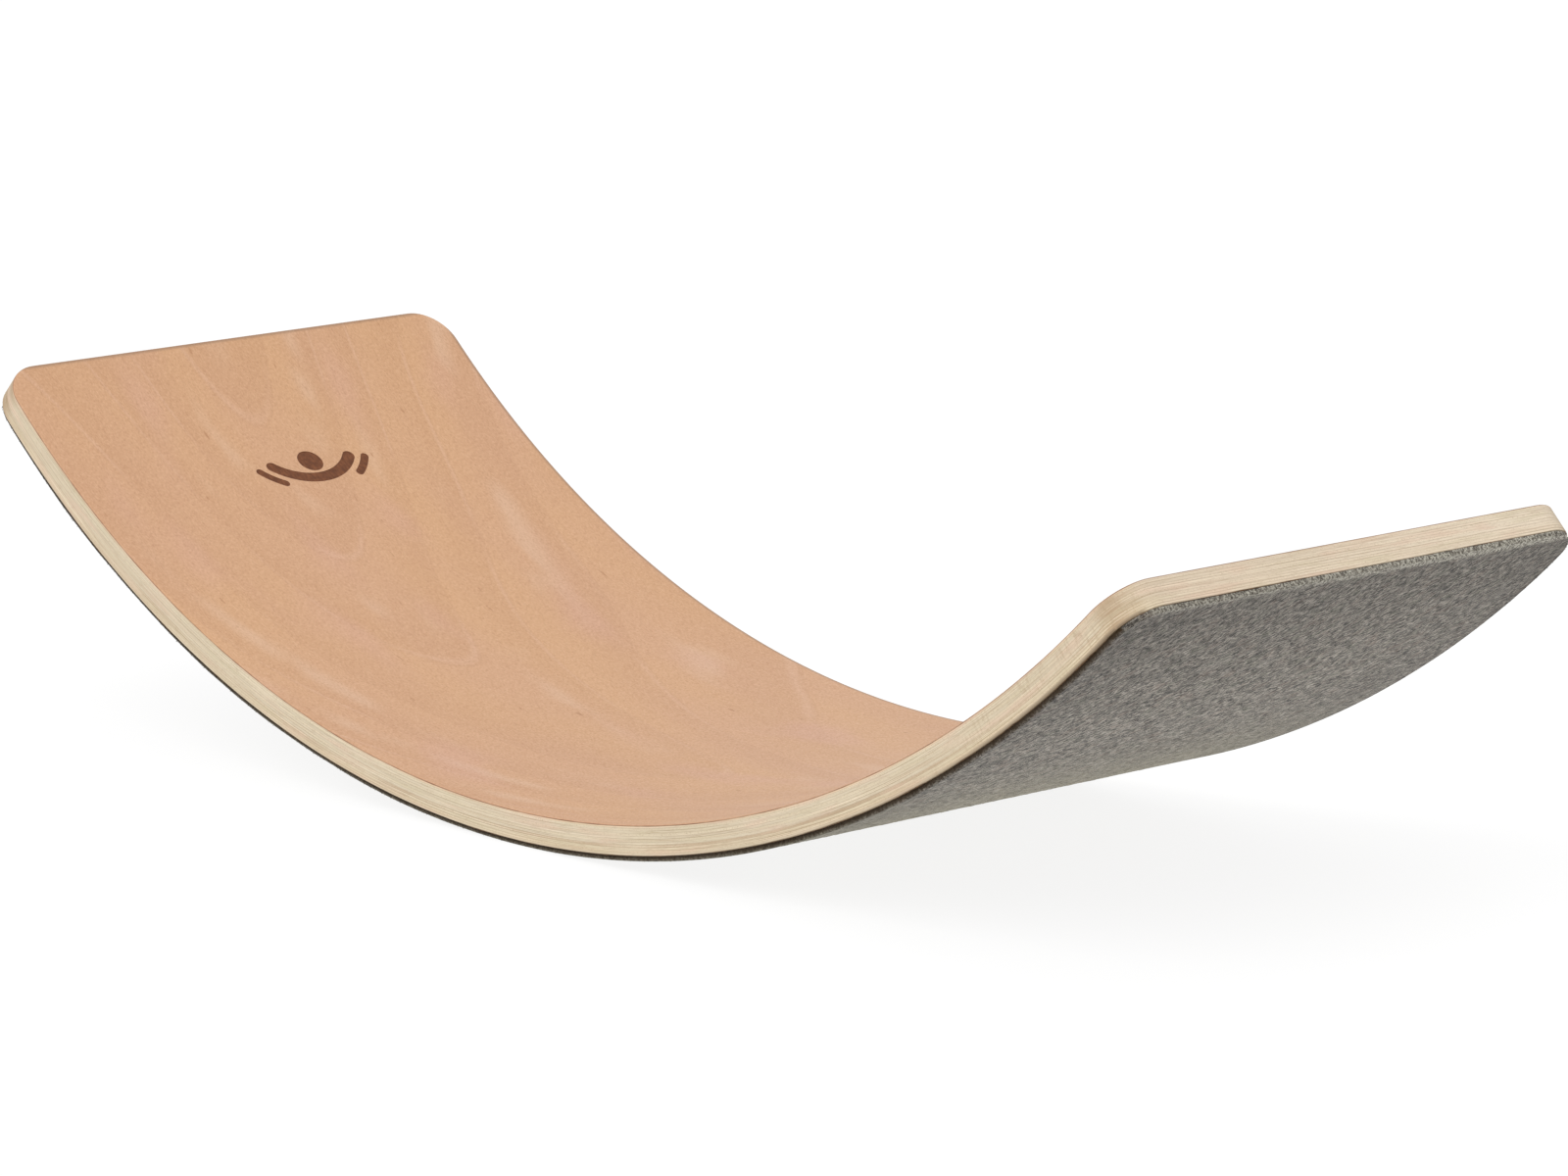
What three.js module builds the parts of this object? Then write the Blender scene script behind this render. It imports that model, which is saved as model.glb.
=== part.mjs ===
// Balance board: a bent plywood rocker with a felt sole, in millimetres, +Z up.
//
// The deck is a strip of moulded plywood bent to one circular arc and trimmed with
// rounded corners. Eleven veneers are glued in a curved press, and a sheet of pressed
// felt is glued under them, so that the board rocks quietly on its felt.
// X runs along the board, Y across it. The origin is the middle of the felt's lowest
// face, where the level board touches the floor.

import * as THREE from 'three';

// Driving dimensions, in millimetres
const BOARD_WIDTH = 300;
const DECK_RADIUS = 600;      // of the upper, concave face
const DECK_ARC_LENGTH = 927;  // measured along the upper face
const CORNER_RADIUS = 22;     // of the four corners, seen square to the deck
const SHELL_THICKNESS = 15;
const PLY_COUNT = 11;
const GLUE_LINE = 0.1;        // between one veneer and the next
const FILM_THICKNESS = 0.15;  // contact adhesive that holds the felt
const FILM_CLEARANCE = 0.05;  // on each side of the adhesive film
const FELT_THICKNESS = 2.75;
const FELT_INSET = 2;         // the felt is cut this much smaller than the plywood all round

// How finely the curves are divided. The odd count leaves a level facet in the middle,
// on which the board rests.
const ARC_FACETS = 45;
const CORNER_FACETS = 6;

const plyThickness = (SHELL_THICKNESS - (PLY_COUNT - 1) * GLUE_LINE) / PLY_COUNT;
const plyPitch = plyThickness + GLUE_LINE;
const filmDepth = SHELL_THICKNESS + FILM_CLEARANCE;
const feltDepth = filmDepth + FILM_THICKNESS + FILM_CLEARANCE;

// The straight-sided part of the outline, between the corner arcs. An inset outline has
// the same one, so the facets of every layer are parallel here.
const straightHalfLength = DECK_ARC_LENGTH / 2 - CORNER_RADIUS;
const facetHalfAngle = straightHalfLength / ARC_FACETS / DECK_RADIUS;
const soleRadius = DECK_RADIUS + feltDepth + FELT_THICKNESS;
const bendAxisHeight = soleRadius * Math.cos(facetHalfAngle);

const materials = {
  faceVeneer: new THREE.MeshStandardMaterial({ color: 0xd6aa86, roughness: 0.55, metalness: 0 }),
  coreVeneer: new THREE.MeshStandardMaterial({ color: 0xdbcbb1, roughness: 0.7, metalness: 0 }),
  backVeneer: new THREE.MeshStandardMaterial({ color: 0xd8c0a0, roughness: 0.7, metalness: 0 }),
  adhesive: new THREE.MeshStandardMaterial({ color: 0x8a6a4a, roughness: 0.5, metalness: 0 }),
  felt: new THREE.MeshStandardMaterial({ color: 0x76716b, roughness: 1, metalness: 0 }),
};

// The cross-lines of an outline, from one end to the other: how far along the deck's arc
// each lies, and half the board's width there. The corners are quarter circles.
function outlineStations(inset) {
  const cornerRadius = CORNER_RADIUS - inset;
  const halfWidth = BOARD_WIDTH / 2 - inset;
  const cornerCentre = halfWidth - cornerRadius;
  const stations = [];
  for (let i = 0; i < CORNER_FACETS; i += 1) {
    const turn = (Math.PI / 2) * (1 - i / CORNER_FACETS);
    stations.push({
      along: -straightHalfLength - cornerRadius * Math.sin(turn),
      halfWidth: cornerCentre + cornerRadius * Math.cos(turn),
    });
  }
  for (let i = 0; i <= ARC_FACETS; i += 1) {
    stations.push({ along: straightHalfLength * ((2 * i) / ARC_FACETS - 1), halfWidth });
  }
  for (let i = 1; i <= CORNER_FACETS; i += 1) {
    const turn = (Math.PI / 2) * (i / CORNER_FACETS);
    stations.push({
      along: straightHalfLength + cornerRadius * Math.sin(turn),
      halfWidth: cornerCentre + cornerRadius * Math.cos(turn),
    });
  }
  return stations;
}

// One layer of the board: a flat blank, divided crosswise, is bent about the Y axis so
// that its upper face lies at the given depth under the deck's face.
function bentLayer(name, depth, thickness, inset, material) {
  const stations = outlineStations(inset);
  const facets = stations.length - 1;
  const geometry = new THREE.BoxGeometry(facets, 2, 2, facets, 1, 1);
  const position = geometry.attributes.position;
  for (let i = 0; i < position.count; i += 1) {
    const station = stations[Math.round(position.getX(i) + facets / 2)];
    const angle = station.along / DECK_RADIUS;
    const radius = DECK_RADIUS + depth + (position.getZ(i) < 0 ? thickness : 0);
    position.setXYZ(
      i,
      radius * Math.sin(angle),
      position.getY(i) * station.halfWidth,
      -radius * Math.cos(angle),
    );
  }
  geometry.computeVertexNormals();
  const layer = new THREE.Mesh(geometry, material);
  layer.name = name;
  return layer;
}

// The plywood: a face veneer, the core and a back veneer, from the top down
function plywoodShell() {
  const shell = new THREE.Group();
  for (let i = 0; i < PLY_COUNT; i += 1) {
    let name = `core_veneer_${i}`;
    let material = materials.coreVeneer;
    if (i === 0) {
      name = 'face_veneer';
      material = materials.faceVeneer;
    } else if (i === PLY_COUNT - 1) {
      name = 'back_veneer';
      material = materials.backVeneer;
    }
    shell.add(bentLayer(name, i * plyPitch, plyThickness, 0, material));
  }
  return shell;
}

// The sole: pressed felt and the film of adhesive that holds it
function feltSole() {
  const sole = new THREE.Group();
  sole.add(bentLayer('adhesive_film', filmDepth, FILM_THICKNESS, FELT_INSET, materials.adhesive));
  sole.add(bentLayer('felt_sole', feltDepth, FELT_THICKNESS, FELT_INSET, materials.felt));
  return sole;
}

const board = new THREE.Group();
board.position.z = bendAxisHeight;
board.add(plywoodShell());
board.add(feltSole());

export default board;
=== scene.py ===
"""Looks of the balance board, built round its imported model. Lengths are in metres, and
those in the materials are in millimetres.

The board is a stack of veneers bent to one arc, with felt under it. Every layer is drawn
flat, as points of (along, across, depth), and is then bent. Along and across are measured
on the deck's face, and depth is measured from that face towards the floor.
"""

import math

import bpy
import numpy as np
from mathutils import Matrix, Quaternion, Vector, geometry, noise


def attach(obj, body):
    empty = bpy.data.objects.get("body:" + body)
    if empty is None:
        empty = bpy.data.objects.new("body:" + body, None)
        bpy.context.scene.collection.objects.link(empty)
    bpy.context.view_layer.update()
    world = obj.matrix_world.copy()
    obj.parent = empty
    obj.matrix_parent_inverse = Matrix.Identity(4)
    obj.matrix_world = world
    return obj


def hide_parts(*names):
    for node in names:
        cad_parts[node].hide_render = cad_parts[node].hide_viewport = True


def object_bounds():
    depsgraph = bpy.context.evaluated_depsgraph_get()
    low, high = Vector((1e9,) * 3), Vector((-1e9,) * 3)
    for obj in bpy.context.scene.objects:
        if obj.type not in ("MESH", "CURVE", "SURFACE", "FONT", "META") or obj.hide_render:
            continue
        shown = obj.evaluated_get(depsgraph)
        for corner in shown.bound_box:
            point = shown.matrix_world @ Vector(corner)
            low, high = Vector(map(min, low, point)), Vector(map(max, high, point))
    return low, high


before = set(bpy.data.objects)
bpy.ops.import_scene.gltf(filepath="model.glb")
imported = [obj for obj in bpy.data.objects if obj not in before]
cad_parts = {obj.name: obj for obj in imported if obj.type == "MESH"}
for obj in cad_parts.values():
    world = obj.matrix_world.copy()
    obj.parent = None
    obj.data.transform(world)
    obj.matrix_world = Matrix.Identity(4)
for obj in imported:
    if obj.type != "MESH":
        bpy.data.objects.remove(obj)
cad_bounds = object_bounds()

MM = 0.001
SAME_PLACE = 0.01 * MM    # points that lie closer than this count as being in one place


# ---------------------------------------------------------------- the shape, from the frame

def node_points(node):
    """The corners of a CAD node, one row each."""
    return np.array([v.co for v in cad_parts[node].data.vertices], float)


def bend_axis():
    """Height of the axis that the board is bent about, and radius of the deck's face.
    Both follow from two points of that face: one at its end and one near its middle."""
    points = node_points("face_veneer")
    end = points[points[:, 2].argmax()]
    nearest = np.abs(points[:, 0]).min()
    middle = points[np.abs(points[:, 0]) < nearest + SAME_PLACE]
    middle = middle[middle[:, 2].argmax()]
    squares = end[0] ** 2 + end[2] ** 2 - middle[0] ** 2 - middle[2] ** 2
    height = squares / (2 * (end[2] - middle[2]))
    return height, math.hypot(middle[0], height - middle[2])


AXIS_HEIGHT, DECK_RADIUS = bend_axis()


def bend(flat):
    """Points of the flat drawing, moved to where bending puts them."""
    angle = flat[:, 0] / DECK_RADIUS
    radius = DECK_RADIUS + flat[:, 2]
    return np.stack(
        [radius * np.sin(angle), flat[:, 1], AXIS_HEIGHT - radius * np.cos(angle)], axis=1
    )


def unbend(points):
    """Where points of the bent board lie in the flat drawing."""
    down = AXIS_HEIGHT - points[:, 2]
    return np.stack(
        [
            DECK_RADIUS * np.arctan2(points[:, 0], down),
            points[:, 1],
            np.hypot(points[:, 0], down) - DECK_RADIUS,
        ],
        axis=1,
    )


def flat_points(node):
    return unbend(node_points(node))


# Half the length and half the width of the deck: in metres, and in a finish's millimetres
HALF_ARC = flat_points("face_veneer")[:, 0].max()
HALF_WIDTH = flat_points("face_veneer")[:, 1].max()
END = HALF_ARC / MM
SIDE = HALF_WIDTH / MM


def corner_radius():
    """Radius of the deck's corners: what its end edge lacks of the whole width."""
    flat = flat_points("face_veneer")
    end = flat[flat[:, 0] > HALF_ARC - SAME_PLACE]
    return HALF_WIDTH - end[:, 1].max()


CORNER_RADIUS = corner_radius()


def depths(node):
    """Depth of a layer's upper face and of its lower face."""
    depth = flat_points(node)[:, 2]
    return depth.min(), depth.max()


def inset(node):
    """How far a layer's outline lies inside the plywood's."""
    return HALF_WIDTH - flat_points(node)[:, 1].max()


# ---------------------------------------------------------------- layers as meshes

CORNER_STEPS = 14  # in the quarter turn of a corner


def outline(offset, row_length):
    """Cross-lines of the board's outline, set in by offset: how far along each one lies,
    and half the width there."""
    radius = CORNER_RADIUS - offset
    straight = HALF_ARC - CORNER_RADIUS
    turn = np.linspace(0, math.pi / 2, CORNER_STEPS + 1)[1:]
    middle = np.linspace(-straight, straight, round(2 * straight / row_length) + 1)
    inner = HALF_WIDTH - CORNER_RADIUS
    corner_half = inner + radius * np.cos(turn)
    along = np.concatenate(
        [-straight - radius * np.sin(turn[::-1]), middle, straight + radius * np.sin(turn)]
    )
    half = np.concatenate([corner_half[::-1], np.full(len(middle), inner + radius), corner_half])
    return along, half


def sheet_points(offset, depth, row_length, cells):
    """The points of one whole face of a layer, row by row."""
    along, half = outline(offset, row_length)
    share = np.linspace(-1, 1, cells + 1)
    across = half[:, None] * share
    return np.stack(
        [np.repeat(along, cells + 1), across.ravel(), np.full(across.size, depth)], axis=1
    )


def rim_of_sheet(rows, width):
    """Which points of a face lie on its rim, in order round it."""
    near = [i * width for i in range(rows)]
    end = [(rows - 1) * width + j for j in range(1, width)]
    far = [i * width + width - 1 for i in range(rows - 2, -1, -1)]
    start = list(range(width - 2, 0, -1))
    return np.array(near + end + far + start)


def layer(profile, row_length, cells):
    """A closed layer, drawn flat: its points, its faces and the points across each row.
    profile lists (offset, depth) down the layer's edge, from the rim of the upper face to
    the rim of the lower one."""
    width = cells + 1
    upper = sheet_points(*profile[0], row_length, cells)
    rows = len(upper) // width
    rim = rim_of_sheet(rows, width)
    blocks = [upper]
    loops = [rim]
    count = len(upper)
    for offset, depth in profile[1:-1]:
        blocks.append(sheet_points(offset, depth, row_length, cells)[rim])
        loops.append(count + np.arange(len(rim)))
        count += len(rim)
    blocks.append(sheet_points(*profile[-1], row_length, cells))
    loops.append(count + rim)

    faces = []
    for i in range(rows - 1):
        for j in range(cells):
            a = i * width + j
            b = count + a
            faces.append((a, a + width, a + width + 1, a + 1))
            faces.append((b, b + 1, b + width + 1, b + width))
    for high, low in zip(loops, loops[1:]):
        next_high, next_low = np.roll(high, -1), np.roll(low, -1)
        faces.extend(zip(high.tolist(), low.tolist(), next_low.tolist(), next_high.tolist()))
    return np.concatenate(blocks), faces


def rounded_rim(face_depth, side_depth, steps):
    """A quarter-round from a face to the side of a layer, as (offset, depth)."""
    radius = abs(side_depth - face_depth)
    turn = np.linspace(0, math.pi / 2, steps + 1)
    offset = radius * (1 - np.sin(turn))
    depth = side_depth + (face_depth - side_depth) * np.cos(turn)
    return list(zip(offset, depth))


def outward(flat):
    """For points of the drawing, which way the nearest edge of the deck lies, as a unit
    vector, and how far off it is. Only points within a corner radius of it have one."""
    inner = np.array([HALF_ARC - CORNER_RADIUS, HALF_WIDTH - CORNER_RADIUS])
    past = flat[:, :2] - np.clip(flat[:, :2], -inner, inner)
    reach = np.linalg.norm(past, axis=1)
    return past / np.maximum(reach, SAME_PLACE)[:, None], CORNER_RADIUS - reach


def wander(flat, size):
    """Smooth noise over the drawing, from -1 to 1, with features of size millimetres."""
    return np.array([noise.noise(Vector((a, b, size)) / (size * MM)) for a, b, _ in flat])


SHARP = math.radians(30)


def make_piece(name, flat, faces):
    """A mesh piece, bent from its flat drawing. It keeps each point's place in the drawing,
    in millimetres, for its materials."""
    mesh = bpy.data.meshes.new(name)
    mesh.from_pydata(bend(flat).tolist(), [], faces)
    mesh.shade_smooth()
    mesh.set_sharp_from_angle(angle=SHARP)
    place = mesh.attributes.new("flat", "FLOAT_VECTOR", "POINT")
    place.data.foreach_set("vector", (flat / MM).astype(np.float32).ravel())
    piece = bpy.data.objects.new(name, mesh)
    bpy.context.scene.collection.objects.link(piece)
    return piece


def put_in_place(piece, node, slot, *materials):
    """Gives a piece its materials, and puts it in the place of its CAD node."""
    for material in materials:
        piece.data.materials.append(material)
    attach(piece, "root")
    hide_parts(node)


# ---------------------------------------------------------------- material tools

def screen(red, green, blue):
    """A colour given as 0 to 255 on a screen, in the shader's own numbers."""
    share = [c / 255 for c in (red, green, blue)]
    return tuple(c / 12.92 if c < 0.04045 else ((c + 0.055) / 1.055) ** 2.4 for c in share) + (1,)


class Finish:
    """A material, with a short call for each kind of node that the finishes here use."""

    def __init__(self, name):
        self.material = bpy.data.materials.new(name)
        self.material.use_nodes = True
        self.tree = self.material.node_tree
        self.surface = self.tree.nodes["Principled BSDF"]
        self.flat = self.attribute("flat").outputs["Vector"]
        parts = self.node("SeparateXYZ")
        self.put(self.flat, parts.inputs[0])
        self.along, self.across, self.depth = parts.outputs
        self.off_centre = self.math("ABSOLUTE", self.along)
        self.off_middle = self.math("ABSOLUTE", self.across)

    def node(self, kind, **settings):
        made = self.tree.nodes.new("ShaderNode" + kind)
        for key, value in settings.items():
            setattr(made, key, value)
        return made

    def attribute(self, name):
        return self.node("Attribute", attribute_name=name)

    def put(self, value, socket):
        """Links a value to a socket, or sets it where it is a plain number or colour."""
        if isinstance(value, bpy.types.NodeSocket):
            self.tree.links.new(value, socket)
        else:
            socket.default_value = value

    def noise(self, size, turn=0.0, detail=2.0, rough=0.5, seed=0.0):
        """Noise with features of the given size, in millimetres along, across and deep. The
        drawing can be turned by some degrees first, so that the features lie askew."""
        vector = self.flat
        if turn:
            turned = self.node("VectorRotate", rotation_type="Z_AXIS")
            turned.inputs["Angle"].default_value = -math.radians(turn)
            self.put(vector, turned.inputs["Vector"])
            vector = turned.outputs["Vector"]
        scaled = self.node("VectorMath", operation="MULTIPLY_ADD")
        self.put(vector, scaled.inputs[0])
        scaled.inputs[1].default_value = [1 / s for s in size]
        scaled.inputs[2].default_value = (seed, seed, seed)
        made = self.node("TexNoise")
        self.put(scaled.outputs[0], made.inputs["Vector"])
        made.inputs["Scale"].default_value = 1.0
        made.inputs["Detail"].default_value = detail
        made.inputs["Roughness"].default_value = rough
        return made.outputs["Fac"]

    def math(self, operation, a, b=0.5):
        made = self.node("Math", operation=operation)
        self.put(a, made.inputs[0])
        self.put(b, made.inputs[1])
        return made.outputs[0]

    def span(self, value, low, high, to_low=0.0, to_high=1.0):
        """value, taken smoothly from the span low to high to another one, and no further."""
        made = self.node("MapRange", interpolation_type="SMOOTHSTEP")
        self.put(value, made.inputs["Value"])
        made.inputs["From Min"].default_value = low
        made.inputs["From Max"].default_value = high
        made.inputs["To Min"].default_value = to_low
        made.inputs["To Max"].default_value = to_high
        return made.outputs["Result"]

    def stripe(self, value, centre, half, strength):
        """strength where value is at the centre, and nothing from half on either side."""
        off = self.math("ABSOLUTE", self.math("SUBTRACT", value, centre))
        return self.span(off, 0.0, half, strength, 0.0)

    def mix(self, share, a, b):
        """Colour a, with a share of b in it. The node's sockets for colours have the same
        names as those for numbers and for vectors, so they are given by number."""
        made = self.node("Mix", data_type="RGBA")
        self.put(share, made.inputs["Factor"])
        self.put(a, made.inputs[6])
        self.put(b, made.inputs[7])
        return made.outputs[2]

    def done(self, color, roughness, height, height_mm):
        """Puts colour, roughness and a bump of height_mm on the surface."""
        self.put(color, self.surface.inputs["Base Color"])
        self.put(roughness, self.surface.inputs["Roughness"])
        bump = self.node("Bump")
        bump.inputs["Strength"].default_value = 1.0
        bump.inputs["Distance"].default_value = height_mm * MM
        self.put(height, bump.inputs["Height"])
        self.put(bump.outputs["Normal"], self.surface.inputs["Normal"])
        return self.material


# ---------------------------------------------------------------- the plywood

ROW = 4 * MM              # from one cross-line of a mesh to the next
DECK_CELLS = 60
PLAIN_CELLS = 1
UPPER_ARRIS = 0.7 * MM    # radius of the eased edge of the deck
LOWER_ARRIS = 0.6 * MM
ARRIS_STEPS = 6
HAIRLINE = 0.012 * MM     # what shows of the glue between two veneers

PLIES = ["face_veneer", *sorted(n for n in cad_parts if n.startswith("core_")), "back_veneer"]

# What each ply's edge looks like, from the face veneer down: pale beech, every other ply
# a little greyer, with one browner ply low in the stack and yellower ones under it
PALE = screen(206, 191, 164)
END_PALE = screen(229, 214, 192)
GREYER = screen(202, 188, 163)
BROWNER = screen(158, 128, 94)
EDGE_TONES = {2: GREYER, 4: GREYER, 6: GREYER, 7: screen(184, 162, 134),
              8: screen(204, 188, 158), 9: screen(202, 183, 153), 10: screen(201, 183, 155)}


def ply_limits():
    """Depths at which one ply ends and the next begins: the middles of the glue lines."""
    spans = [depths(ply) for ply in PLIES]
    joints = [(above[1] + below[0]) / 2 for above, below in zip(spans, spans[1:])]
    return [spans[0][0], *joints, spans[-1][1]]


def edge_tone(f, tone, end):
    """A veneer's own tone, stronger in some stretches than in others. The board's ends are
    paler, and its corners browner."""
    patchy = f.noise((70, 70, 6), detail=2, seed=11.0)
    toned = f.math("MULTIPLY", f.span(patchy, 0.32, 0.6, 0.3, 1.0), f.span(end, 0, 1, 1.0, 0.3))
    color = f.mix(toned, f.mix(end, PALE, END_PALE), tone)
    color = f.mix(f.math("MULTIPLY", end, f.span(f.across, -160, 60, 0.25, 0.0)), color, BROWNER)
    corner = f.stripe(f.off_centre, END - 12, 14, 1.0)
    return f.mix(f.math("MULTIPLY", corner, f.span(patchy, 0.3, 0.7, 0.35, 0.9)), color, BROWNER)


def painted_arris_shade(f, long_side):
    """Painted shade on an edge, for the shade along the lower arris: along the long sides,
    most on the lowest plies and towards the right end."""
    low = f.math("ADD", f.depth, f.span(f.along, 280, 440, 0.0, 0.5))
    towards_right = f.math("MULTIPLY", f.span(f.along, -100, 560, 0.0, 0.88), long_side)
    return f.math("MULTIPLY", towards_right, f.span(low, 13.4, 15.0))


def sanding_marks(f, long_side):
    """Marks that run down the whole edge of the long sides, mostly near the right end."""
    towards_right = f.math("MULTIPLY", f.span(f.along, 250, 400, 0.08, 0.5), long_side)
    groups = f.span(f.noise((28, 28, 28), seed=13.0), 0.4, 0.6, 0.25, 1.0)
    mark = f.noise((1.7, 1.7, 7), detail=3, rough=0.65, seed=6.0)
    return f.math("MULTIPLY", f.span(mark, 0.46, 0.72), f.math("MULTIPLY", towards_right, groups))


def edge_color(f, tone, crossways, seed):
    """Colour and pores of a veneer's sanded edge. Where the grain runs crossways, the edge
    of the long side shows it end on, as short pores; otherwise it shows long fine ones."""
    end = f.span(f.off_centre, END - 5, END - 0.3)
    long_side = f.span(end, 0, 0.8, 1, 0)
    color = edge_tone(f, tone, end)
    line = f.noise((70, 70, 0.5), detail=3, rough=0.7, seed=seed)
    color = f.mix(f.span(line, 0.32, 0.48, 0.7, 0.0), color, screen(174, 150, 122))
    color = f.mix(f.span(line, 0.52, 0.68, 0.0, 0.65), color, screen(236, 220, 194))
    slow = f.noise((40, 40, 5), detail=2)
    color = f.mix(f.span(slow, 0.5, 0.72, 0.0, 0.4), color, screen(214, 182, 160))
    color = f.mix(f.span(slow, 0.3, 0.46, 0.35, 0.0), color, screen(196, 184, 152))
    # Painted shade along the lower arris of the long sides, darkest towards the right end
    color = f.mix(painted_arris_shade(f, long_side), color, screen(111, 93, 71))
    pore_size = (0.8, 0.8, 0.5) if crossways else (6, 6, 0.25)
    pore = f.noise(pore_size, detail=2, rough=0.6, seed=seed)
    color = f.mix(f.span(pore, 0.52, 0.7, 0.0, 0.45), color, screen(156, 130, 100))
    return f.mix(sanding_marks(f, long_side), color, screen(166, 142, 112)), pore


def veneer_edge(index, top, bottom):
    """The sanded edge of one ply. It darkens towards its glue lines, and more so along the
    stretches where a joint is open."""
    f = Finish(PLIES[index] + "_edge")
    crossways = index % 2 == 1
    color, pore = edge_color(f, EDGE_TONES.get(index, PALE), crossways, seed=index * 3.7)
    middle = (top + bottom) / 2 / MM
    half = (bottom - top) / 2 / MM
    off_middle = f.math("ABSOLUTE", f.math("SUBTRACT", f.depth, middle))
    open_joint = f.span(f.noise((90, 90, 1.5), detail=2, seed=9.0), 0.5, 0.66, 0.28, 0.85)
    glue = f.math("MULTIPLY", f.span(off_middle, half - 0.22, half), open_joint)
    color = f.mix(glue, color, screen(148, 124, 94))
    return f.done(color, f.span(pore, 0.3, 0.7, 0.6, 0.72), pore, 0.04)


DECK_ROSE = screen(203, 158, 122)
DECK_TAN = screen(205, 160, 120)
BARE_DECK = screen(218, 192, 161)
ARCH_ASIDE = 14           # millimetres that the arches' middle lies off the board's
ARCH_TIP = 38             # millimetres between rings that run along the board
ARCH_SLOPE = 6.5e-3       # how many rings are crossed, for 1 mm along the middle
ARCH_SWAY = 4.0           # how many rings the wood's waves move them by, at the most


def growth_rings(f, color):
    """Adds growth rings cut nearly flat, so that they show as long nested arches. Each one
    darkens slowly and ends at a thin pale line, and some are pale for a stretch."""
    aside = f.math("DIVIDE", f.math("ADD", f.across, ARCH_ASIDE), ARCH_TIP)
    arch = f.math("SQRT", f.math("ADD", f.math("MULTIPLY", aside, aside), 1.0))
    slope = f.math("ADD", arch, f.math("MULTIPLY", f.along, ARCH_SLOPE))
    sway = f.math("MULTIPLY", f.noise((430, 150, 60), detail=0.5, seed=4.2), ARCH_SWAY)
    ring = f.math("FRACT", f.math("ADD", slope, sway))
    fading = f.span(f.noise((120, 60, 60), detail=1, seed=8.0), 0.42, 0.6)
    color = f.mix(f.span(ring, 0.1, 0.95, 0.0, 0.12), color, screen(168, 118, 84))
    thin = f.math("MULTIPLY", f.stripe(ring, 0.95, 0.05, 0.24), fading)
    color = f.mix(thin, color, screen(226, 188, 162))
    stretch = f.span(f.noise((130, 50, 60), detail=2, rough=0.6, seed=2.5), 0.52, 0.66)
    band = f.math("MULTIPLY", f.stripe(ring, 0.5, 0.3, 0.34), stretch)
    return f.mix(band, color, screen(222, 190, 164))


def beech_flecks(f, color):
    """Adds the short flecks of beech, both ways of the tone, and fine pores between them.
    Returns the colour, the flecks and the pores."""
    fleck = f.noise((1.5, 0.9, 1), detail=2, rough=0.6, seed=1.3)
    color = f.mix(f.span(fleck, 0.52, 0.7, 0.0, 0.28), color, screen(158, 106, 70))
    color = f.mix(f.span(fleck, 0.3, 0.48, 0.28, 0.0), color, screen(232, 192, 156))
    pore = f.noise((5, 0.4, 1), detail=2, seed=0.6)
    return f.mix(f.span(pore, 0.32, 0.5, 0.12, 0.0), color, screen(150, 100, 70)), fleck, pore


def beech_deck():
    """The deck's stained and lacquered beech. Its edge is bare wood, like the other plies,
    under a thin dark line where the stain was sanded through at the arris."""
    f = Finish("beech_deck")
    tone = f.noise((210, 60, 50), detail=1, rough=0.5)
    color = f.mix(f.span(tone, 0.36, 0.64), DECK_ROSE, DECK_TAN)
    color = growth_rings(f, color)

    # Pinker patches, longer with the grain, and a rare brown pin knot
    pink = f.noise((110, 46, 20), detail=1, seed=5.0)
    color = f.mix(f.span(pink, 0.54, 0.76, 0.0, 0.35), color, screen(207, 161, 143))
    knot = f.noise((15, 3.4, 9), detail=1, seed=14.0)
    color = f.mix(f.span(knot, 0.73, 0.8, 0.0, 0.5), color, screen(160, 106, 62))
    color, fleck, pore = beech_flecks(f, color)

    # The lacquer is dull and greyer along the ends and the far side
    past_end = f.math("SUBTRACT", f.off_centre, END)
    past_side = f.math("SUBTRACT", f.across, SIDE)
    rim = f.math("MAXIMUM", past_end, past_side)
    color = f.mix(f.span(rim, -3.0, -0.8, 0.0, 0.7), color, screen(148, 116, 92))

    # Bare wood below the arris, and the dark line that parts it from the lacquer
    bare, bare_pore = edge_color(f, BARE_DECK, False, seed=0.0)
    color = f.mix(f.span(f.depth, 0.25, 0.6), color, bare)
    worn = f.span(f.noise((14, 14, 3), detail=2), 0.3, 0.7, 0.6, 1.0)
    line = f.math("MULTIPLY", f.stripe(f.depth, 0.45, 0.45, 1.0), worn)
    color = f.mix(line, color, screen(116, 72, 44))
    gloss = f.span(fleck, 0.3, 0.75, 0.42, 0.56)
    roughness = f.math("ADD", gloss, f.span(f.depth, 0.2, 0.7, 0.0, 0.18))
    return f.done(color, roughness, f.math("ADD", pore, bare_pore), 0.02)


def burnt_wood():
    """The floor and the walls of the burnt mark."""
    f = Finish("burnt_wood")
    f.surface.inputs["Specular IOR Level"].default_value = 0.25
    cloud = f.noise((4, 2.5, 5), detail=3, rough=0.65)
    color = f.mix(f.span(cloud, 0.35, 0.68), screen(100, 58, 34), screen(126, 78, 50))
    pore = f.noise((6, 0.4, 1), detail=2)
    color = f.mix(f.span(pore, 0.5, 0.7, 0.0, 0.35), color, screen(76, 44, 30))
    return f.done(color, f.span(cloud, 0.3, 0.7, 0.6, 0.75), pore, 0.05)


# ---------------------------------------------------------------- the burnt mark

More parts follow.
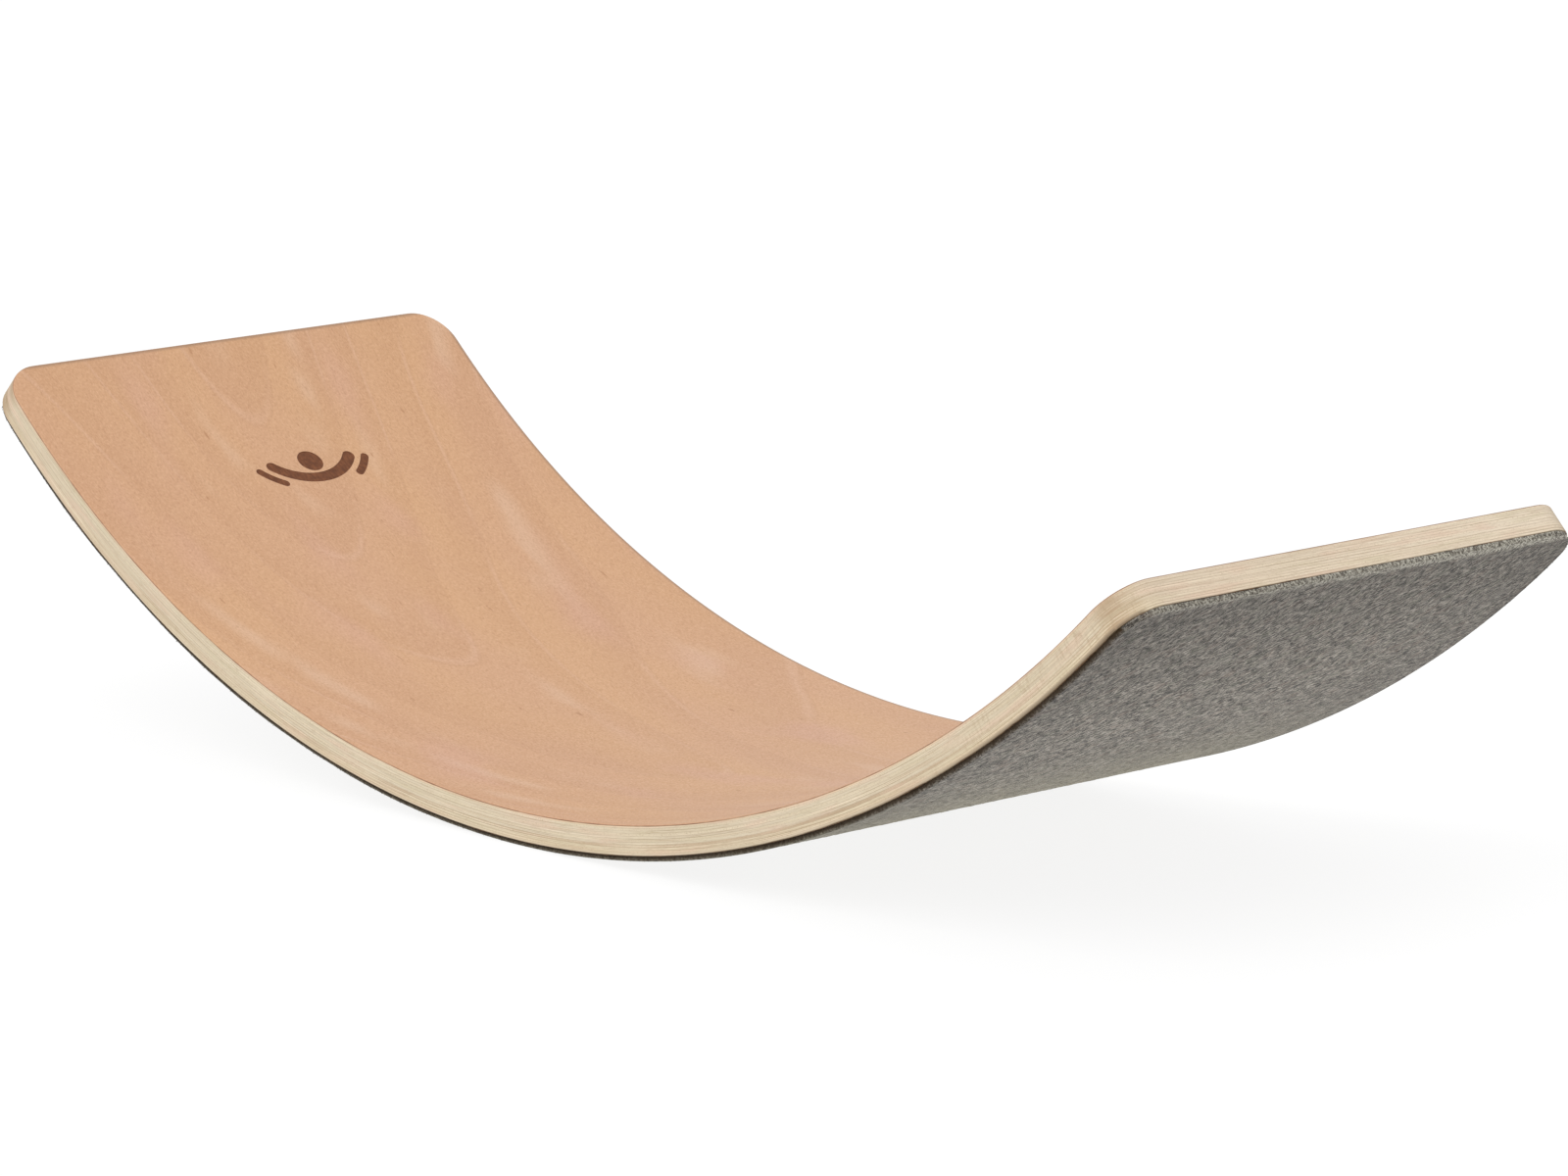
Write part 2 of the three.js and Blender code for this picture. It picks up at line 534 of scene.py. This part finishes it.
# A pictogram of a ball that is rocked on a bowed board, in millimetres: (right, up) from
# its middle as a reader sees it. Right is across the board, and up is towards its left end.
MARK_PLACE = (-367, 2)    # along and across
MARK_DEPTH = 0.18 * MM
MARGIN = 3                # from the mark to the window that is cut for it
ROCKER_RADIUS = 34
ROCKER_CENTRE = 26        # up
ROCKER_WIDTH = 7.0
ROCKER_HALF_ANGLE = 50    # degrees
SWING_RADIUS = 43         # of the two short arcs that stand for the movement
SWING_WIDTH = 4.6
SWING_ANGLES = (36, 56)
BALL = (0, 4.6)           # its middle, right and up
BALL_WIDTH = 15
BALL_STROKE = 0.01        # half the length of the stroke that a disc is drawn with
ARC_STEPS = 28            # along an arc of the mark, and round each of its round ends
CAP_STEPS = 18
CUT_TOLERANCE = 1e-7      # metres
WHOLE_PLAN = 0            # asks the cutter for every triangle, inside the outlines or not


def mark_arc(radius, start, stop):
    angles = np.radians(np.linspace(start, stop, ARC_STEPS + 1))
    return np.stack([radius * np.sin(angles), ROCKER_CENTRE - radius * np.cos(angles)], axis=1)


def mark_strokes():
    """Each stroke of the mark: its middle line, and its width. A disc is a short stroke."""
    near, far = SWING_ANGLES
    right, up = BALL
    ball = np.array([(right, up - BALL_STROKE), (right, up + BALL_STROKE)])
    return [
        (mark_arc(ROCKER_RADIUS, -ROCKER_HALF_ANGLE, ROCKER_HALF_ANGLE), ROCKER_WIDTH),
        (mark_arc(SWING_RADIUS, near, far), SWING_WIDTH),
        (mark_arc(SWING_RADIUS, -far, -near), SWING_WIDTH),
        (ball, BALL_WIDTH),
    ]


def on_deck(mark_points):
    """Points of the mark as (along, across) on the deck, in metres."""
    along = MARK_PLACE[0] - mark_points[:, 1]
    across = MARK_PLACE[1] + mark_points[:, 0]
    return np.stack([along, across], axis=1) * MM


def stroke_outline(middle, width):
    """The outline of a stroke with round ends."""
    step = np.gradient(middle, axis=0)
    step /= np.linalg.norm(step, axis=1)[:, None]
    side = np.stack([-step[:, 1], step[:, 0]], axis=1) * width / 2
    turn = np.linspace(0, math.pi, CAP_STEPS + 1)[1:-1, None]
    end_cap = middle[-1] + side[-1] * np.cos(turn) + step[-1] * np.sin(turn) * width / 2
    start_cap = middle[0] - side[0] * np.cos(turn) - step[0] * np.sin(turn) * width / 2
    return np.concatenate([middle + side, end_cap, (middle - side)[::-1], start_cap])


def inside_stroke(point, middle, width):
    """True if a point lies within half the stroke's width of its middle line."""
    for a, b in zip(middle, middle[1:]):
        share = np.clip(np.dot(point - a, b - a) / np.dot(b - a, b - a), 0, 1)
        if np.linalg.norm(point - a - share * (b - a)) < width / 2:
            return True
    return False


def rows_of(flat, cells):
    """How many cross-lines the upper face of a layer has."""
    along = flat[:: cells + 1, 0]
    return int(np.argmax(np.diff(along) < 0)) + 1


def grid_window(flat, cells, corners):
    """The rows and columns of the deck's mesh that hold all the corners, with a margin."""
    width = cells + 1
    low = corners.min(axis=0) - MARGIN * MM
    high = corners.max(axis=0) + MARGIN * MM
    along = flat[: len(flat) // width * width : width, 0]
    rows_below = np.searchsorted(along[: along.argmax()], [low[0], high[0]])
    across = flat[rows_below[0] * width : (rows_below[0] + 1) * width, 1]
    columns_below = np.searchsorted(across, [low[1], high[1]])
    return rows_below[0] - 1, rows_below[1], columns_below[0] - 1, columns_below[1]


def open_window(flat, faces, cells, corners):
    """Takes the upper face's cells round the corners out of the deck's mesh. Returns the
    faces that stay, and the numbers of the points in the window."""
    width = cells + 1
    first_row, last_row, first_column, last_column = grid_window(flat, cells, corners)

    def in_window(face):
        row, column = divmod(face[0], width)
        return first_row <= row < last_row and first_column <= column < last_column

    # The list starts with the cells of the two whole faces, upper and lower in turn
    cell_faces = 2 * cells * (rows_of(flat, cells) - 1)
    kept = [
        face for k, face in enumerate(faces) if k >= cell_faces or k % 2 or not in_window(face)
    ]
    rows = range(first_row, last_row + 1)
    columns = range(first_column, last_column + 1)
    return kept, [row * width + column for row in rows for column in columns]


def turned_up(points, triangle):
    """A triangle with its corners in the order that makes it face up."""
    a, b, c = (points[k] for k in triangle)
    return triangle[::-1] if (b - a).cross(c - a) < 0 else triangle


def cut_window(flat, window, outlines):
    """Cuts the window into triangles that follow the outlines. Returns the cut's points and
    triangles, the deck's points with the new ones added, and each cut point's number there."""
    plan = [Vector(flat[k, :2]) for k in window]
    loops = []
    for points in outlines:
        start = len(plan)
        plan.extend(Vector(p) for p in points)
        loops.extend((start + k, start + (k + 1) % len(points)) for k in range(len(points)))
    cut = geometry.delaunay_2d_cdt(plan, loops, [], WHOLE_PLAN, CUT_TOLERANCE)
    cut_points, _, triangles, sources, _, _ = cut

    places = list(flat)
    index = []
    for point, origin in zip(cut_points, sources):
        own = [k for k in origin if k < len(window)]
        if own:
            index.append(window[own[0]])
        else:
            index.append(len(places))
            places.append(np.array([point.x, point.y, 0.0]))
    return cut_points, [turned_up(cut_points, t) for t in triangles], places, index


def burn_mark(flat, faces, cells):
    """Sinks the mark into the deck's face. The mesh round it is cut anew to its outlines.
    Returns the points, the faces and which of them are burnt."""
    strokes = [(on_deck(middle), size * MM) for middle, size in mark_strokes()]
    outlines = [stroke_outline(middle, size) for middle, size in strokes]
    kept, window = open_window(flat, faces, cells, np.concatenate(outlines))
    cut_points, triangles, places, index = cut_window(flat, window, outlines)

    sunk = {}
    burnt_faces = []
    burnt_edges = set()
    for triangle in triangles:
        middle = np.mean([cut_points[k] for k in triangle], axis=0)
        if not any(inside_stroke(middle, *stroke) for stroke in strokes):
            kept.append(tuple(index[k] for k in triangle))
            continue
        for k in triangle:
            if k not in sunk:
                sunk[k] = len(places)
                places.append(places[index[k]] + np.array([0, 0, MARK_DEPTH]))
        burnt_faces.append(tuple(sunk[k] for k in triangle))
        burnt_edges.update(zip(triangle, triangle[1:] + triangle[:1]))

    # Walls, where a sunk triangle's edge has no other one beside it
    for a, b in sorted(burnt_edges):
        if (b, a) not in burnt_edges:
            burnt_faces.append((index[a], index[b], sunk[b], sunk[a]))
    burnt = [False] * len(kept) + [True] * len(burnt_faces)
    return np.array(places), kept + burnt_faces, burnt


def make_deck(top, bottom):
    profile = rounded_rim(top, top + UPPER_ARRIS, ARRIS_STEPS) + [(0.0, bottom - HAIRLINE / 2)]
    flat, faces = layer(profile, ROW, DECK_CELLS)
    flat, faces, burnt = burn_mark(flat, faces, DECK_CELLS)
    piece = make_piece("deck_veneer", flat, faces)
    piece.data.polygons.foreach_set("material_index", np.array(burnt, np.int32))
    put_in_place(piece, "face_veneer", "face_veneer", beech_deck(), burnt_wood())


def make_core(limits):
    for index, node in enumerate(PLIES[1:-1], start=1):
        top = limits[index]
        bottom = limits[index + 1]
        profile = [(0.0, top + HAIRLINE / 2), (0.0, bottom - HAIRLINE / 2)]
        piece = make_piece(node + "_ply", *layer(profile, ROW, PLAIN_CELLS))
        put_in_place(piece, node, "core_veneer", veneer_edge(index, top, bottom))


def make_back(top, bottom):
    lower_rim = rounded_rim(bottom, bottom - LOWER_ARRIS, ARRIS_STEPS)[::-1]
    profile = [(0.0, top + HAIRLINE / 2), *lower_rim]
    piece = make_piece("back_veneer_ply", *layer(profile, ROW, PLAIN_CELLS))
    put_in_place(piece, "back_veneer", "back_veneer", veneer_edge(len(PLIES) - 1, top, bottom))


# ---------------------------------------------------------------- the felt sole

FELT_ROW = 2.5 * MM
FELT_CELLS = 118
FELT_ROUND = 0.8 * MM     # how much the cut edge's lower corner is worn round
FELT_DENT = 0.28 * MM     # depth of the dents in the pressed surface
DENT_SHARES = {6.0: 0.6, 3.0: 0.4}  # what dents of each size, in millimetres, add to it
END_PROUD = 1.3 * MM      # how much less the ends are set in than the layout asks
SIDE_PROUD = 0.6 * MM
TRIM_WANDER = 0.7 * MM    # how far the knife strayed from the outline
SKEW = 0.0005             # radians by which the sheet was laid askew
NAP = 44.0                # degrees from the board's length towards its width
FACE_FIBRES = 4200
RIM_FIBRES = 6000
FACE_FIBRE_LENGTHS = (2.5, 6.0)  # millimetres
FACE_FIBRE_TURN = 0.6     # radians off the nap, as a rule
RIM_FIBRE_SIZES = (0.7, 1.9)  # millimetres, of which it goes shares out, aside and down
SIDE_SHORTER = 0.3        # size of a fibre at a long side, to that of one at an end
FIBRE_BOW = 0.3 * MM      # how far a fibre bows, as a rule
FIBRE_RADIUS = 0.11 * MM
RING_PLACES = (0.0, 0.35, 0.7)  # along a fibre, which ends in a tip
RING_SIZES = (1.0, 0.95, 0.7)
FIBRE_POINTS = 10         # three rings of three points, and the tip
PAINTED_SHADE_WOOL = screen(62, 58, 54)
chance = np.random.default_rng(7)


def felt_depth(along, across, bottom):
    """Depth of the felt's lower face, which dips where it was pressed unevenly."""
    spot = Vector((along, across, 0.0)) / MM
    dent = sum(share * noise.noise(spot / size) for size, share in DENT_SHARES.items())
    return bottom - FELT_DENT * (0.5 + 0.5 * dent)


def trimmed(flat, edge):
    """Points of the drawing, with those on the felt's cut edge moved to where it was cut."""
    way, inside = outward(flat)
    cut = inside < edge + FELT_ROUND + SAME_PLACE
    proud = np.abs(way) @ (END_PROUD, SIDE_PROUD)
    askew = SKEW * (way[:, 0] * flat[:, 1] - way[:, 1] * flat[:, 0])
    stray = proud + askew + TRIM_WANDER * (wander(flat, 83) + 0.3 * wander(flat, 17))
    moved = flat.copy()
    moved[cut, :2] += way[cut] * stray[cut, None]
    return moved


def wool(f, color):
    """Adds what the felt and its loose fibres share: clouds and patches of redder and of
    greener wool, painted shade on the long sides' cut edge under the plywood's overhang,
    and a lighter, yellower middle that is painted light, to make up for the shade that the
    board casts on the floor under it. Towards its ends and sides the felt is painted
    darker, as painted shade."""
    cloud = f.noise((22, 11, 10), NAP, detail=3, rough=0.6)
    color = f.mix(f.span(cloud, 0.5, 0.7, 0.0, 0.32), color, screen(70, 66, 60))
    color = f.mix(f.span(cloud, 0.3, 0.48, 0.22, 0.0), color, screen(150, 146, 138))
    hue = f.noise((11, 6, 6), NAP, detail=2, seed=3.0)
    color = f.mix(f.span(hue, 0.53, 0.72, 0.0, 0.3), color, screen(134, 112, 98))
    color = f.mix(f.span(hue, 0.28, 0.46, 0.3, 0.0), color, screen(116, 120, 100))
    # Painted light: a lighter, yellower middle, to make up for the shade that the board casts on the
    # floor under it
    painted_middle_light = f.span(f.off_centre, 180, 330, 0.5, 0.0)
    painted_light_streaks = f.span(f.noise((3.6, 1.4, 1.4), NAP, detail=4, rough=0.75, seed=5.0), 0.42, 0.58)
    color = f.mix(painted_middle_light, color, f.mix(painted_light_streaks, screen(96, 90, 70), screen(198, 191, 164)))
    # Painted shade: the felt is darker towards its ends and towards its sides
    color = f.mix(f.span(f.off_centre, 330, 470, 0.0, 0.4), color, PAINTED_SHADE_WOOL)
    color = f.mix(f.span(f.off_middle, 80, 150, 0.0, 0.2), color, PAINTED_SHADE_WOOL)
    # Painted shade on the long sides' cut edge, where it lies under the plywood's overhang
    side = f.span(f.off_middle, SIDE - 3.4, SIDE - 2.6)
    ragged = f.math("ADD", f.depth, f.math("MULTIPLY", f.noise((1.4, 1.4, 1.4), detail=2), 1.8))
    painted_overhang_shade = f.math("MULTIPLY", side, f.span(ragged, 16.9, 20.0, 0.97, 0.1))
    return f.mix(painted_overhang_shade, color, screen(45, 30, 6))


def melange_felt():
    """Pressed felt of mixed grey wool, frayed and paler where its ends are cut, and more
    so towards one corner."""
    f = Finish("melange_felt")
    strands = [f.noise((3.9, 1.0, 1.0), NAP + turn, detail=2, rough=0.6, seed=turn + 3)
               for turn in (0, 34, -38)]
    light = f.math("MAXIMUM", f.math("MAXIMUM", strands[0], strands[1]), strands[2])
    dark = f.math("MINIMUM", f.math("MINIMUM", strands[0], strands[1]), strands[2])
    grain = f.noise((3.6, 1.4, 1.4), NAP, detail=4, rough=0.75)
    color = f.mix(f.span(grain, 0.43, 0.57), screen(40, 36, 32), screen(158, 151, 140))
    color = f.mix(f.span(light, 0.58, 0.68, 0.0, 0.85), color, screen(200, 192, 180))
    color = f.mix(f.span(dark, 0.32, 0.43, 0.9, 0.0), color, screen(26, 24, 22))
    cut = f.noise((1.3, 1.1, 1.6), detail=3, rough=0.7)
    frayed = f.mix(f.span(cut, 0.4, 0.6), screen(84, 77, 68), screen(192, 188, 174))
    spread = f.math("ADD", f.math("MULTIPLY", cut, 6.0), f.span(f.across, -120, 150, 0.0, 2.0))
    end = f.span(f.math("ADD", f.off_centre, spread), END - 1.5, END + 2)
    worse = f.span(f.across, -90, 120, 0.7, 0.95)
    color = f.mix(f.math("MULTIPLY", end, worse), wool(f, color), frayed)
    f.surface.inputs["Sheen Weight"].default_value = 0.15
    f.surface.inputs["Sheen Roughness"].default_value = 0.5
    f.surface.inputs["Specular IOR Level"].default_value = 0.15
    height = f.math("ADD", grain, f.math("MULTIPLY", light, 0.6))
    return f.done(color, f.span(grain, 0.3, 0.7, 0.9, 1.0), height, 0.5)


def loose_wool():
    """Single fibres, each of its own grey."""
    f = Finish("loose_wool")
    tone = f.attribute("tone").outputs["Fac"]
    color = f.mix(tone, screen(58, 54, 50), screen(198, 190, 176))
    streak = f.noise((0.8, 0.8, 0.8), detail=2)
    color = f.mix(f.span(streak, 0.4, 0.7, 0.0, 0.3), color, screen(90, 84, 76))
    f.surface.inputs["Specular IOR Level"].default_value = 0.15
    # The fibres also take the felt's painted light and painted shade from wool()
    return f.done(wool(f, color), f.span(streak, 0.3, 0.7, 0.8, 0.95), streak, 0.02)


def fibre_mesh(start, step, bow):
    """Thin closed fibres, drawn flat: three rings of three points and a tip for each one.
    Each leads from its start along its step, and bows aside on the way."""
    share = np.array([*RING_PLACES, 1.0])[:, None]
    spine = start[:, None] + step[:, None] * share + bow[:, None] * (4 * share * (1 - share))
    ahead = step / np.linalg.norm(step, axis=1)[:, None]
    side = np.cross(ahead, (0.0, 0.0, 1.0))
    side /= np.linalg.norm(side, axis=1)[:, None]
    other = np.cross(ahead, side)
    turn = np.arange(3) * 2 * math.pi / 3
    ring = side[:, None] * np.cos(turn)[:, None] + other[:, None] * np.sin(turn)[:, None]
    taper = np.array(RING_SIZES)[:, None, None]
    rings = spine[:, :3, None] + ring[:, None] * FIBRE_RADIUS * taper
    points = np.concatenate([rings.reshape(-1, 9, 3), spine[:, 3:]], axis=1)

    # A cap at the root, then from ring to ring and up to the tip
    pattern = [(0, 1, 2)]
    for k in range(3):
        after = (k + 1) % 3
        pattern.append((k + 3, after + 3, after, k))
        pattern.append((k + 6, after + 6, after + 3, k + 3))
        pattern.append((9, after + 6, k + 6))
    firsts = range(0, FIBRE_POINTS * len(start), FIBRE_POINTS)
    faces = [tuple(first + k for k in face) for first in firsts for face in pattern]
    return points.reshape(-1, 3), faces


def face_fibres(edge, bottom):
    """Start and step of the fibres that lie on the felt's lower face."""
    reach = np.array([HALF_ARC, HALF_WIDTH]) - edge - FELT_ROUND
    start = np.zeros((FACE_FIBRES, 3))
    start[:, :2] = chance.uniform(-reach, reach, (FACE_FIBRES, 2))
    start = start[outward(start)[1] > edge + 3 * FELT_ROUND]
    turn = math.radians(NAP) + chance.normal(0, FACE_FIBRE_TURN, len(start))
    step = np.stack([np.cos(turn), np.sin(turn), np.zeros(len(start))], axis=1)
    step *= chance.uniform(*FACE_FIBRE_LENGTHS, len(start))[:, None] * MM
    start[:, 2] = [felt_depth(a, b, bottom) for a, b, _ in start]
    ends = [felt_depth(a, b, bottom) for a, b, _ in start + step]
    step[:, 2] = np.array(ends) - start[:, 2]
    return start, step


def rim_fibres(edge, top, bottom):
    """Start and step of the fibres that stand out of the felt's cut edge."""
    along, half = outline(edge, FELT_ROW)
    loop = np.stack([np.concatenate([along, along[::-1]]), np.concatenate([-half, half[::-1]])])
    loop = np.concatenate([loop, loop[:, :1]], axis=1)
    run = np.concatenate([[0], np.cumsum(np.hypot(*np.diff(loop)))])
    place = chance.uniform(0, run[-1], RIM_FIBRES)
    depth = chance.uniform(top + 2 * FIBRE_RADIUS, bottom - 0.4 * FELT_ROUND, RIM_FIBRES)
    start = np.stack([np.interp(place, run, loop[0]), np.interp(place, run, loop[1]), depth], axis=1)
    way = outward(start)[0]
    step = np.zeros_like(start)
    step[:, :2] = way * chance.uniform(0.1, 0.9, RIM_FIBRES)[:, None]
    step[:, :2] += way[:, ::-1] * (1, -1) * chance.normal(0, 0.9, RIM_FIBRES)[:, None]
    step[:, 2] = chance.uniform(0.0, 0.9, RIM_FIBRES)
    longer = SIDE_SHORTER + (1 - SIDE_SHORTER) * np.abs(way[:, :1])
    step *= longer * chance.uniform(*RIM_FIBRE_SIZES, RIM_FIBRES)[:, None] * MM
    start = trimmed(start, edge)
    start[:, :2] -= way * FIBRE_RADIUS
    return start, step


def make_fuzz(edge, top, bottom):
    """Loose fibres on the felt's face and round its cut edge, none of them lower than it."""
    parts = zip(face_fibres(edge, bottom), rim_fibres(edge, top, bottom))
    start, step = (np.concatenate(pair) for pair in parts)
    bow = chance.normal(0, FIBRE_BOW, start.shape)
    flat, faces = fibre_mesh(start, step, bow)
    flat[:, 2] = np.minimum(flat[:, 2], bottom)
    piece = make_piece("felt_fuzz", flat, faces)
    tone = piece.data.attributes.new("tone", "FLOAT", "POINT")
    tone.data.foreach_set("value", np.repeat(chance.uniform(0, 1, len(start)), FIBRE_POINTS))
    piece.data.materials.append(loose_wool())
    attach(piece, "root")
    return piece


def make_felt():
    top, bottom = depths("felt_sole")
    edge = inset("felt_sole")
    side = [(edge, depth) for depth in np.linspace(top, bottom - FELT_ROUND, 4)[:-1]]
    rim = [(edge + offset, depth) for offset, depth in rounded_rim(bottom, bottom - FELT_ROUND, 5)]
    flat, faces = layer([*side, *rim[::-1]], FELT_ROW, FELT_CELLS)
    low = flat[:, 2] > bottom - SAME_PLACE
    flat[low, 2] = [felt_depth(a, b, bottom) for a, b, _ in flat[low]]
    piece = make_piece("felt_sheet", trimmed(flat, edge), faces)
    put_in_place(piece, "felt_sole", "felt", melange_felt())
    fuzz = make_fuzz(edge, top, bottom)


BEAD_CELLS = 75
SQUEEZED = 1.4 * MM       # how far the adhesive spread beyond its layout, on average
SQUEEZE_CHANGE = 1.6 * MM
BEAD_COVER = 0.1 * MM     # how much the plywood overhangs the bead at the least


def dried_adhesive():
    f = Finish("dried_adhesive")
    lump = f.noise((3, 3, 1), detail=3)
    color = f.mix(f.span(lump, 0.3, 0.7), screen(84, 60, 40), screen(128, 96, 66))
    return f.done(color, f.span(lump, 0.3, 0.7, 0.35, 0.6), lump, 0.2)


def make_adhesive():
    """The film of adhesive, with the uneven bead that was squeezed out past the felt."""
    top, bottom = depths("adhesive_film")
    edge = inset("adhesive_film") - SQUEEZED
    flat, faces = layer([(edge, top), (edge, bottom)], ROW, BEAD_CELLS)
    way, inside = outward(flat)
    rim = inside < edge + SAME_PLACE
    spread = SQUEEZE_CHANGE * wander(flat, 31) + 0.5 * SQUEEZE_CHANGE * wander(flat, 9)
    flat[rim, :2] += way[rim] * np.clip(spread[rim, None], -edge, edge - BEAD_COVER)
    piece = make_piece("adhesive_bead", flat, faces)
    put_in_place(piece, "adhesive_film", "adhesive", dried_adhesive())


limits = ply_limits()
make_deck(limits[0], limits[1])
make_core(limits)
make_back(limits[-2], limits[-1])
make_felt()
make_adhesive()


# ---------------------------------------------------------------- floor, light and camera

FLOOR_HALF = 12.0
CAMERA_AZIMUTH = 48.0     # degrees, as the other two angles are
CAMERA_ELEVATION = 10.97
CAMERA_ROLL = -0.51
CAMERA_DISTANCE = 3.576
AIM_FROM_MIDDLE = Vector((0.0108, 0.0204, 0.0127))
LENS = 163.3              # millimetres, as the sensor's width is
SENSOR = 36.0
FLOOR_GREY = 0.16
FLOOR_GLOW = 0.85         # the floor is a light table, so that the felt over it isn't dark
SKY_STRENGTH = 0.8
KEY_STRENGTH = 1.35
KEY_SIZE = math.radians(50)
KEY_FROM = Vector((0.17, -0.65, 0.75))


def make_floor():
    mesh = bpy.data.meshes.new("floor")
    corners = [(-1, -1), (1, -1), (1, 1), (-1, 1)]
    points = [(x * FLOOR_HALF, y * FLOOR_HALF, cad_bounds[0].z) for x, y in corners]
    mesh.from_pydata(points, [], [(0, 1, 2, 3)])
    floor = bpy.data.objects.new("floor", mesh)
    bpy.context.scene.collection.objects.link(floor)
    material = bpy.data.materials.new("pale_floor")
    material.use_nodes = True
    surface = material.node_tree.nodes["Principled BSDF"]
    surface.inputs["Base Color"].default_value = (FLOOR_GREY, FLOOR_GREY, FLOOR_GREY, 1)
    surface.inputs["Emission Color"].default_value = (1, 1, 1, 1)
    surface.inputs["Emission Strength"].default_value = FLOOR_GLOW
    surface.inputs["Roughness"].default_value = 0.9
    surface.inputs["Specular IOR Level"].default_value = 0.1
    mesh.materials.append(material)


def make_lights():
    """A white studio: even light from all round, and a large soft key from the front."""
    world = bpy.data.worlds.new("studio")
    world.use_nodes = True
    background = world.node_tree.nodes["Background"]
    background.inputs["Color"].default_value = (1, 1, 1, 1)
    background.inputs["Strength"].default_value = SKY_STRENGTH
    bpy.context.scene.world = world
    data = bpy.data.lights.new("key", "SUN")
    data.energy = KEY_STRENGTH
    data.angle = KEY_SIZE
    key = bpy.data.objects.new("key", data)
    key.rotation_mode = "QUATERNION"
    key.rotation_quaternion = KEY_FROM.to_track_quat("Z", "Y")
    bpy.context.scene.collection.objects.link(key)


def make_camera():
    azimuth = math.radians(CAMERA_AZIMUTH)
    elevation = math.radians(CAMERA_ELEVATION)
    back = Vector((
        math.sin(azimuth) * math.cos(elevation),
        -math.cos(azimuth) * math.cos(elevation),
        math.sin(elevation),
    ))
    data = bpy.data.cameras.new("camera")
    data.lens = LENS
    data.sensor_width = SENSOR
    camera = bpy.data.objects.new("camera", data)
    middle = (cad_bounds[0] + cad_bounds[1]) / 2
    camera.location = middle + AIM_FROM_MIDDLE + back * CAMERA_DISTANCE
    camera.rotation_mode = "QUATERNION"
    roll = Quaternion((0, 0, 1), math.radians(CAMERA_ROLL))
    camera.rotation_quaternion = (-back).to_track_quat("-Z", "Y") @ roll
    bpy.context.scene.collection.objects.link(camera)
    bpy.context.scene.camera = camera


make_floor()
make_lights()
make_camera()
bpy.context.scene.view_settings.view_transform = "Standard"
